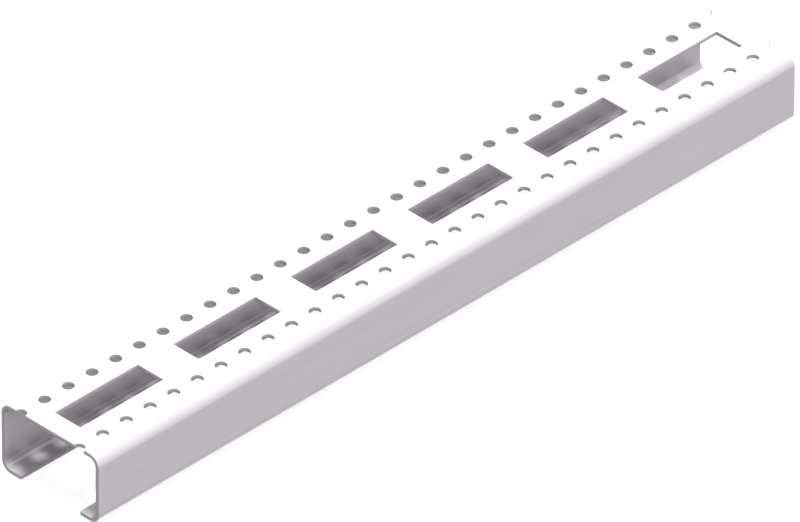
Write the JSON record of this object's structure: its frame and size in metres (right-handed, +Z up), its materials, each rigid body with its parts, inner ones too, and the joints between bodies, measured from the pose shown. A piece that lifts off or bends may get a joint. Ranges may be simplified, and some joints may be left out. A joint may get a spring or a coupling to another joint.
{
  "type": "slotted strut channel",
  "caption": "Short lipped steel C-channel with square-cornered slots along its web and a row of small round holes beside each edge.",
  "frame": {"origin": "middle of the channel's footprint, at the underside of its two lips", "axes": "+X along the channel, +Y across it, +Z up from the lips to the punched web"},
  "size_m": [0.3, 0.042, 0.025],
  "materials": {
    "zinc_coated_steel": "smooth bright zinc coating on cold-rolled steel, satin"
  },
  "bodies": {
    "root": {"strut_channel": "zinc_coated_steel"}
  },
  "joints": []
}
